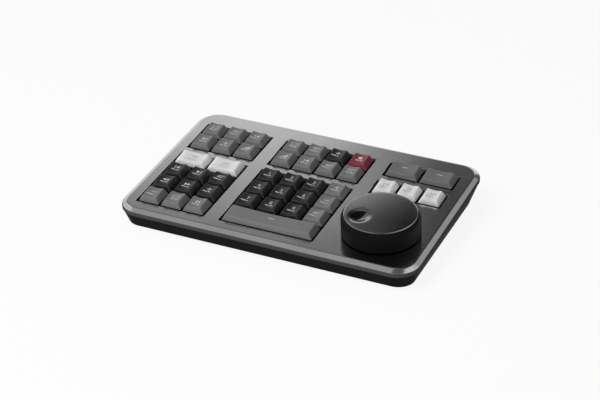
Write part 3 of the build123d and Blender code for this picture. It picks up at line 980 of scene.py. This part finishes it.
floor_finish = new_finish("studio_floor", floor_colour, floor_roughness)
nodes, links = wiring(floor_finish)
glow = nodes.new("ShaderNodeEmission")
white_share = nodes.new("ShaderNodeMath")
white_share.operation = "MULTIPLY"
white_share.inputs[1].default_value = floor_white_share
links.new(seen_directly(nodes, links), white_share.inputs[0])
blend = nodes.new("ShaderNodeMixShader")
links.new(white_share.outputs["Value"], blend.inputs["Fac"])
links.new(nodes["Principled BSDF"].outputs["BSDF"], blend.inputs[1])
links.new(glow.outputs["Emission"], blend.inputs[2])
links.new(blend.outputs["Shader"], nodes["Material Output"].inputs["Surface"])
print("share of the floor that only glows:", floor_white_share)

# %% [markdown]
# The floor itself is one large sheet, a hair below the rubber feet so that the two never share a plane.

# %% Lay the floor
floor_half = 4.0
floor_drop = 0.05 * mm


def stage_sheet(name, corners, finish):
    """A flat four-cornered sheet of the studio."""
    mesh = bmesh.new()
    mesh.faces.new([mesh.verts.new(corner) for corner in corners])
    data = bpy.data.meshes.new(name)
    mesh.to_mesh(data)
    mesh.free()
    data.materials.append(finish)
    sheet = bpy.data.objects.new(name, data)
    scene_objects.link(sheet)
    return sheet


floor_signs = [(-1, 1), (-1, -1), (1, -1), (1, 1)]
floor_corners = [(x * floor_half, y * floor_half, -floor_drop) for x, y in floor_signs]
stage_sheet("studio_floor", floor_corners, floor_finish)
print("floor:", 2 * floor_half, "m")

# %% [markdown]
# ## World
# Beyond the floor lies the world, which stands for the studio's walls. Like the floor it is white to the
# eye, but it gives the keyboard only a part of that as even light from all sides, so that shadows keep some
# depth.

# %% Make the world
ambient_light = 0.3
backdrop_light = 1.0
world = bpy.data.worlds.new("studio")
bpy.context.scene.world = world
world.use_nodes = True
nodes, links = wiring(world)
ambient = nodes["Background"]
backdrop = nodes.new("ShaderNodeBackground")
for light, strength in ((ambient, ambient_light), (backdrop, backdrop_light)):
    light.inputs["Color"].default_value = (1, 1, 1, 1)
    light.inputs["Strength"].default_value = strength
blend = nodes.new("ShaderNodeMixShader")
links.new(seen_directly(nodes, links), blend.inputs["Fac"])
links.new(ambient.outputs["Background"], blend.inputs[1])
links.new(backdrop.outputs["Background"], blend.inputs[2])
links.new(blend.outputs["Shader"], nodes["World Output"].inputs["Surface"])
print("ambient light:", ambient_light)

# %% [markdown]
# ## Lamp
# One large soft lamp stands in front, above the user's left shoulder. A small lamp would draw hard shadows
# between the caps. Mirrors don't see this one, because a square of light in the dial's rim would look odd.

# %% Hang the lamp
lamp_place = Vector((-0.45, -0.85, 1.28))
lamp_size = 1.0
lamp_power = 20
lamp = bpy.data.lights.new("front_lamp", "AREA")
lamp.shape = "SQUARE"
lamp.size = lamp_size
lamp.energy = lamp_power
lamp_stand = bpy.data.objects.new("front_lamp", lamp)
lamp_stand.location = lamp_place
lamp_stand.rotation_euler = (-lamp_place).to_track_quat("-Z", "Y").to_euler()
lamp_stand.visible_glossy = False
scene_objects.link(lamp_stand)
print("lamp:", round(lamp_place.length, 2), "m away")

# %% [markdown]
# ## Reflection cards
# Metal shows what stands round it more than what lights it, so a photographer hangs dark cards for it to
# mirror. A shaded colour on the panel would stay where it is when the keyboard is turned, and reflections
# don't. A card here is a black sheet that fades in from its first edge. Only reflections see it, and it
# throws no shadow.

# %% Helper for the cards
rays_without_cards = ("camera", "diffuse", "transmission", "volume_scatter", "shadow")


def reflection_card(name, corners, fade_share, darkness):
    """A dark card that only reflections see, fading in over a share of the way from its first edge."""
    finish = bpy.data.materials.new(name)
    finish.use_nodes = True
    nodes, links = wiring(finish)
    nodes.remove(nodes["Principled BSDF"])
    side = nodes.new("ShaderNodeUVMap")
    parts = nodes.new("ShaderNodeSeparateXYZ")
    links.new(side.outputs["UV"], parts.inputs["Vector"])
    fade = nodes.new("ShaderNodeMapRange")
    fade.inputs["From Max"].default_value = fade_share
    fade.inputs["To Max"].default_value = darkness
    links.new(parts.outputs["X"], fade.inputs["Value"])
    black = nodes.new("ShaderNodeEmission")
    black.inputs["Color"].default_value = (0, 0, 0, 1)
    blend = nodes.new("ShaderNodeMixShader")
    links.new(fade.outputs["Result"], blend.inputs["Fac"])
    links.new(nodes.new("ShaderNodeBsdfTransparent").outputs["BSDF"], blend.inputs[1])
    links.new(black.outputs["Emission"], blend.inputs[2])
    links.new(blend.outputs["Shader"], nodes["Material Output"].inputs["Surface"])
    card = stage_sheet(name, corners, finish)
    across = card.data.uv_layers.new(name="across")
    for loop, place in zip(across.data, ((0, 0), (0, 1), (1, 1), (1, 0))):
        loop.uv = place
    for kind in rays_without_cards:
        setattr(card, f"visible_{kind}", False)


print("rays that never meet a card:", rays_without_cards)

# %% [markdown]
# Five cards hang behind the keyboard, one a little in front of the other. The wide one leans and the side
# one is upright, and together they let the panel fall from light grey at the left to nearly black at the
# right. The high one darkens it towards the user. The far and the low one stand at the right, for the caps'
# right walls and the bevel at that end. One large card with a painted gradient could not be changed so
# easily. Each entry is a card's name, its corners, the share of it that fades in, and how dark it gets.

# %% Cards behind the keyboard
card_distance = 0.4
card_gap = 1 * mm
card_floor, card_top = 0.24, 1.0
card_left, card_right = -1.2, 0.8
wide_edge, wide_dark, wide_end, wide_lean = -0.24, -0.02, 0.6, 0.43
side_edge, side_dark, side_end = -0.175, -0.04, 0.22
high_edge, high_dark = 0.3, 0.465
low_edge, low_top = 0.15, 0.25
sharp_fade_share = 0.01


def upright(first, second, low, high, lean=0.0):
    """Corners of a card as (x, z), its fading edge first, perhaps leaning to the left."""
    return [(first, low), (first - lean, high), (second - lean, high), (second, low)]


def share_faded(edge, dark, end):
    """Share of a card's width over which it fades in."""
    return (dark - edge) / (end - edge)


high_corners = [(card_left, high_edge), (side_end, high_edge), (side_end, card_top), (card_left, card_top)]
rear_cards = [
    ("wide_card", upright(wide_edge, wide_end, card_floor, card_top, wide_lean),
     share_faded(wide_edge, wide_dark, wide_end), 0.33),
    ("side_card", upright(side_edge, side_end, card_floor, card_top),
     share_faded(side_edge, side_dark, side_end), 0.86),
    ("high_card", high_corners, share_faded(high_edge, high_dark, card_top), 0.72),
    ("far_card", upright(side_end, card_right, low_top, card_top), sharp_fade_share, 0.2),
    ("low_card", upright(low_edge, card_right, 0, low_top), sharp_fade_share, 0.85),
]
for layer, (name, outline, fade_share, darkness) in enumerate(rear_cards):
    corners = [(x, card_distance - layer * card_gap, z) for x, z in outline]
    reflection_card(name, corners, fade_share, darkness)
print("cards behind:", len(rear_cards))

# %% [markdown]
# Three more lie level overhead. Two at the left calm the fronts of the caps and the roundings of the
# cut-outs, and one at the right calms the edge of the dial. It ends before the bevel of the front right
# corner would mirror it. Each entry is a card's name, its left, right, front and rear edges, and how dark
# it gets.

# %% Cards overhead
overhead_level = 1.0
overhead_left, overhead_middle, overhead_right = -0.9, -0.15, 0.4
overhead_front, overhead_rear = -0.7, 0.1
dial_card_front = -0.58
soft_fade_share = 0.1
overhead_cards = [
    ("ceiling_card", overhead_left, overhead_middle, overhead_front, overhead_rear, 0.45),
    ("slot_card", overhead_left, overhead_middle, overhead_rear, card_distance, 0.75),
    ("dial_card", overhead_middle, overhead_right, dial_card_front, card_distance, 0.85),
]
for name, left, right, front, rear, darkness in overhead_cards:
    corners = [(left, front, overhead_level), (left, rear, overhead_level),
               (right, rear, overhead_level), (right, front, overhead_level)]
    reflection_card(name, corners, soft_fade_share, darkness)
print("cards overhead:", len(overhead_cards))

# %% [markdown]
# ## Camera
# The camera stands to the right of the user's seat and looks down on the keyboard by about thirty degrees.
# A short lens close by would make the front keys look larger than the rear ones. This one is long and
# stands back, which keeps the keyboard's edges nearly parallel.

# %% Set up the camera
camera_place = Vector((0.4930, -1.0631, 0.6737))
camera_aim = Vector((-0.0101, 0.0180, 0))
camera_roll = math.radians(-0.2)
lens_length = 103.9
sensor_width = 36
camera_data = bpy.data.cameras.new("camera")
camera_data.lens = lens_length
camera_data.sensor_width = sensor_width
camera = bpy.data.objects.new("camera", camera_data)
camera.location = camera_place
look = (camera_aim - camera_place).to_track_quat("-Z", "Y")
camera.rotation_euler = (look @ Quaternion((0, 0, 1), camera_roll)).to_euler()
scene_objects.link(camera)
bpy.context.scene.camera = camera
bpy.context.scene.view_settings.view_transform = "Standard"
print("camera:", round((camera_aim - camera_place).length, 3), "m away")
